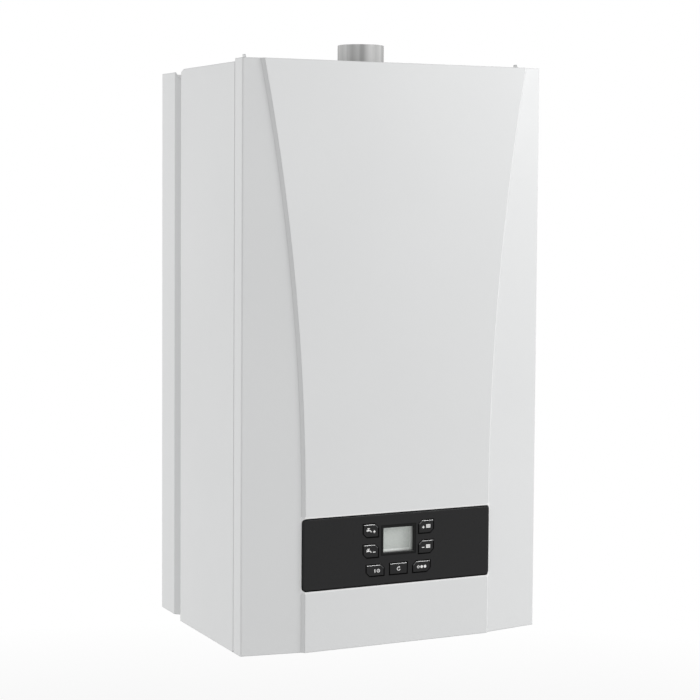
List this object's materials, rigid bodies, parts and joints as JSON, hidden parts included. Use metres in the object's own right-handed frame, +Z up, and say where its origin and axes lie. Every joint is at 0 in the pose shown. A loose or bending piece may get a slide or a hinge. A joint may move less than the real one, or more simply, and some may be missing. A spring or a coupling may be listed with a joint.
{
  "type": "wall-hung gas boiler",
  "caption": "Wall-hung room-sealed combination gas boiler: white sheet casing with a bowed front cover, black push-button control panel, top flue collar and threaded pipe ends below.",
  "frame": {"origin": "on the wall plane, midway between the centres of the two hanging slots", "axes": "+Z up, +Y into the wall, +X to the right as seen from the front"},
  "size_m": [0.4, 0.2998, 0.7303],
  "materials": {
    "casing_white": "satin white powder coat",
    "flue_metal": "dull cast alloy",
    "zinc_steel": "zinc-coated",
    "light_alloy": "matt",
    "dark_metal": "semi-matt",
    "dark_rubber": "matt",
    "clear_rubber": "satin",
    "clear_glass": "clear",
    "fibre_board": "matt fibre",
    "copper": "satin copper",
    "white_ceramic": "glazed ceramic",
    "dark_plastic": "matt",
    "vessel_red": "gloss",
    "brass": "as cast",
    "knob_red": "satin",
    "knob_blue": "satin",
    "fascia_black": "satin black",
    "display_grey": "unlit display",
    "board_green": "satin",
    "button_black": "satin"
  },
  "bodies": {
    "boiler": {"rear_chassis": "casing_white", "left_side_panel": "casing_white", "right_side_panel": "casing_white", "top_plate": "casing_white", "cover_screws": "zinc_steel", "connection_rail": "zinc_steel", "flue_collar": "flue_metal", "fan_volute": "zinc_steel", "fan_motor": "dark_metal", "flue_hood": "light_alloy", "chamber_walls": "zinc_steel", "chamber_ends": "zinc_steel", "chamber_cover": "zinc_steel", "chamber_gasket": "dark_rubber", "sight_glass": "clear_glass", "chamber_screws": "zinc_steel", "combustion_frame": "light_alloy", "insulation_boards": "fibre_board", "primary_heat_exchanger": "copper", "burner_blades": "zinc_steel", "burner_frame": "zinc_steel", "gas_manifold": "light_alloy", "electrodes": "white_ceramic", "air_pressure_switch": "dark_plastic", "pressure_tubes": "clear_rubber", "expansion_vessel": "vessel_red", "expansion_pipe": "copper", "flow_group": "brass", "return_group": "brass", "pump_motor": "dark_metal", "air_vent": "brass", "plate_heat_exchanger": "zinc_steel", "diverter_actuator": "dark_plastic", "safety_valve": "brass", "gas_valve": "light_alloy", "gas_valve_coils": "dark_plastic", "gas_feed_pipe": "zinc_steel", "heating_pipes": "copper", "heating_connectors": "brass", "gas_connector": "brass", "water_connectors": "brass", "hinge_brackets": "zinc_steel"},
    "cover": {"front_cover": "casing_white"},
    "control_box": {"control_housing": "dark_plastic", "control_lid": "dark_plastic", "control_fascia": "fascia_black", "display_lens": "clear_glass", "display_module": "display_grey", "control_board": "board_green"},
    "hot_water_up": {"hot_water_up_button": "button_black"},
    "hot_water_down": {"hot_water_down_button": "button_black"},
    "heating_up": {"heating_up_button": "button_black"},
    "heating_down": {"heating_down_button": "button_black"},
    "power": {"power_button": "button_black"},
    "reset": {"reset_button": "button_black"},
    "mode": {"mode_button": "button_black"},
    "fan_wheel": {"fan_impeller": "light_alloy"},
    "pump_wheel": {"pump_impeller": "dark_plastic"},
    "filling_knob": {"filling_tap_knob": "knob_blue"},
    "safety_knob": {"safety_valve_knob": "knob_red"}
  },
  "joints": [
    {"name": "cover_slide", "type": "slide", "parent": "boiler", "child": "cover", "axis": [0, -1, 0], "range_m": [0, 0.36]},
    {"name": "control_box_tilt", "type": "hinge", "parent": "boiler", "child": "control_box", "pos_m": [0, -0.268, -0.615], "axis": [1, 0, 0], "range_deg": [0, 90]},
    {"name": "hot_water_up_press", "type": "slide", "parent": "control_box", "child": "hot_water_up", "axis": [0, 1, 0], "range_m": [0, 0.001], "stiffness_N_per_m": 400},
    {"name": "hot_water_down_press", "type": "slide", "parent": "control_box", "child": "hot_water_down", "axis": [0, 1, 0], "range_m": [0, 0.001], "stiffness_N_per_m": 400},
    {"name": "heating_up_press", "type": "slide", "parent": "control_box", "child": "heating_up", "axis": [0, 1, 0], "range_m": [0, 0.001], "stiffness_N_per_m": 400},
    {"name": "heating_down_press", "type": "slide", "parent": "control_box", "child": "heating_down", "axis": [0, 1, 0], "range_m": [0, 0.001], "stiffness_N_per_m": 400},
    {"name": "power_press", "type": "slide", "parent": "control_box", "child": "power", "axis": [0, 1, 0], "range_m": [0, 0.001], "stiffness_N_per_m": 400},
    {"name": "reset_press", "type": "slide", "parent": "control_box", "child": "reset", "axis": [0, 1, 0], "range_m": [0, 0.001], "stiffness_N_per_m": 400},
    {"name": "mode_press", "type": "slide", "parent": "control_box", "child": "mode", "axis": [0, 1, 0], "range_m": [0, 0.001], "stiffness_N_per_m": 400},
    {"name": "fan_spin", "type": "hinge", "parent": "boiler", "child": "fan_wheel", "pos_m": [-0.0333, -0.185, -0.059], "axis": [0, -1, 0], "continuous": true},
    {"name": "pump_spin", "type": "hinge", "parent": "boiler", "child": "pump_wheel", "pos_m": [0.13, -0.085, -0.503], "axis": [0, -1, 0], "continuous": true},
    {"name": "filling_turn", "type": "hinge", "parent": "boiler", "child": "filling_knob", "pos_m": [0.065, -0.12, -0.565], "axis": [0, -1, 0], "range_deg": [0, 90]},
    {"name": "safety_turn", "type": "hinge", "parent": "boiler", "child": "safety_knob", "pos_m": [0.0975, -0.12, -0.571], "axis": [0, -1, 0], "range_deg": [0, 90]}
  ],
  "couplings": [
    {"joint": "control_box_tilt", "follows": "cover_slide", "rad_per_m": 4.3633}
  ]
}
